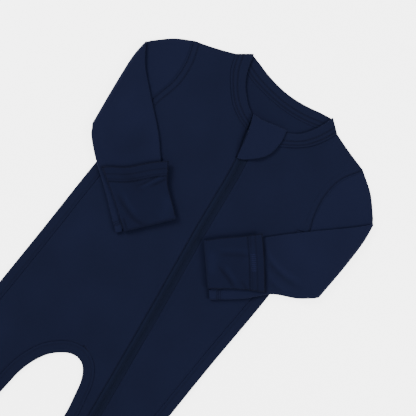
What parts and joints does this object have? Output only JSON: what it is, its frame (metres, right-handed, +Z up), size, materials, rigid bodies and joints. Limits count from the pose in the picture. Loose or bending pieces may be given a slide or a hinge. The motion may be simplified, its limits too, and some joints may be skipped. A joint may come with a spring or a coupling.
{
  "type": "onesie pajama",
  "caption": "Zip-up baby sleeper lying flat, sleeves folded over the front at the elbow, mitten cuffs turned over at the wrists.",
  "frame": {"origin": "under the middle of the garment, on the surface that it lies on", "axes": "+X towards the wearer's left, +Y towards the neck, +Z up out of the surface"},
  "size_m": [0.2969, 0.5174, 0.0082],
  "materials": {
    "jersey": "smooth stretch jersey, navy, matt with a faint bloom",
    "zip_tape": "woven zip tape and coil, navy",
    "zip_slider": "enamelled zinc, navy"
  },
  "bodies": {
    "root": {"back": "jersey", "front_right": "jersey", "front_left": "jersey", "neck_band": "jersey", "chin_tab": "jersey", "sleeve_right": "jersey", "sleeve_left": "jersey", "cuff_right": "jersey", "cuff_left": "jersey", "zip_tape_right": "zip_tape", "zip_tape_left": "zip_tape", "zip_slider": "zip_slider"}
  },
  "joints": []
}
